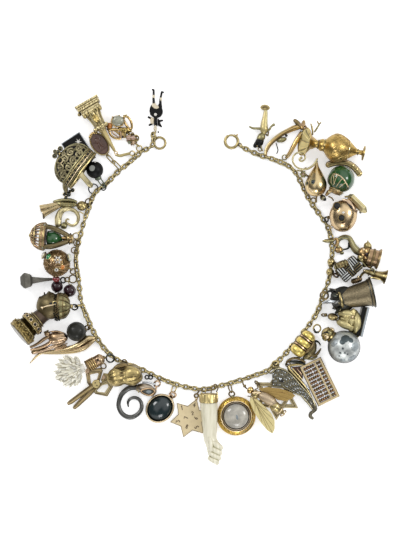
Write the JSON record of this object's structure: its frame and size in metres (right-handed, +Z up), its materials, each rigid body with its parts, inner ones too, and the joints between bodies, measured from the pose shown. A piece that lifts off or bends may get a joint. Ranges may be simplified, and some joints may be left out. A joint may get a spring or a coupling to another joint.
{
  "type": "charm necklace",
  "caption": "Open charm necklace: a link chain with a spring ring clasp, hung all round with mixed gold, enamel, stone and crystal charms, seals and beads.",
  "frame": {"origin": "on the surface that the necklace lies on, under the middle of its bounding box", "axes": "+Z up from the surface, +Y from the bottom of the loop towards the clasp, +X to the right with the clasp at the top"},
  "size_m": [0.2322, 0.2295, 0.0198],
  "materials": {
    "antique_gold": "worn, olive-toned antique gold",
    "yellow_gold": "polished yellow gold with engraving",
    "rose_gold": "satin rose gold",
    "pale_gold": "pale peach gold, brushed",
    "bronze": "dark patinated bronze",
    "gunmetal": "dark grey, cast texture",
    "silver": "bright, slightly tarnished silver",
    "black_enamel": "glossy black enamel",
    "green_glass": "polished green stone",
    "garnet": "dark aubergine faceted stone",
    "brown_stone": "brown intaglio stone",
    "dark_stone": "polished dark blue-green cabochon",
    "crystal_glass": "milky rough crystal",
    "mother_of_pearl": "carved mother-of-pearl"
  },
  "bodies": {
    "root": {"chain": "antique_gold", "end_ring": "antique_gold", "spring_ring_case": "antique_gold", "harlequin_figure": "black_enamel", "gem_ring": "rose_gold", "cluster_bead": "rose_gold", "column_seal": "yellow_gold", "intaglio_frame": "antique_gold", "intaglio_stone": "brown_stone", "star_plaque": "black_enamel", "crown": "antique_gold", "black_ball": "black_enamel", "double_horn_tassel": "yellow_gold", "curled_tusk": "antique_gold", "cage_lantern": "yellow_gold", "green_drop": "green_glass", "jewelled_ball": "rose_gold", "iron_nail": "gunmetal", "garnet_bead_a": "garnet", "garnet_bead_b": "garnet", "bust_seal": "bronze", "dark_ball": "gunmetal", "rose_bud": "rose_gold", "gold_horn": "yellow_gold", "crystal_cluster": "crystal_glass", "crystal_cap": "rose_gold", "scissors_blade_a": "rose_gold", "gold_peanut": "antique_gold", "steel_spiral": "gunmetal", "oval_bezel": "antique_gold", "oval_stone": "dark_stone", "star_plate": "pale_gold", "pearl_hand": "mother_of_pearl", "hand_cap": "yellow_gold", "locket": "yellow_gold", "bee": "yellow_gold", "open_star": "yellow_gold", "jewelled_dagger": "gunmetal", "gold_pod": "yellow_gold", "abacus": "rose_gold", "ribbed_barrel": "yellow_gold", "gold_fish": "antique_gold", "moon_ball": "silver", "enamel_slab": "black_enamel", "gold_owl": "yellow_gold", "bell": "bronze", "woven_basket": "silver", "swan_jug": "rose_gold", "thimble": "rose_gold", "bugle": "yellow_gold", "skull": "yellow_gold", "gold_cigar": "yellow_gold", "balloon": "green_glass", "gold_pear": "yellow_gold", "ewer": "yellow_gold", "curved_tube": "antique_gold", "tongs": "rose_gold", "dancer_figure": "yellow_gold"},
    "spring_bolt": {"spring_ring_bolt": "pale_gold"},
    "upper_blade": {"scissors_blade_b": "rose_gold"}
  },
  "joints": [
    {"name": "spring_bolt_turn", "type": "hinge", "parent": "root", "child": "spring_bolt", "pos_m": [0.01974, 0.08225, 0.00085], "axis": [0, 0, 1], "range_deg": [-40, 0], "stiffness_Nm_per_rad": 0.0005, "springref_deg": 17.19},
    {"name": "scissors_pivot", "type": "hinge", "parent": "root", "child": "upper_blade", "pos_m": [-0.06396, -0.06774, 0.0021], "axis": [0, 0, 1], "range_deg": [-28, 12]}
  ]
}
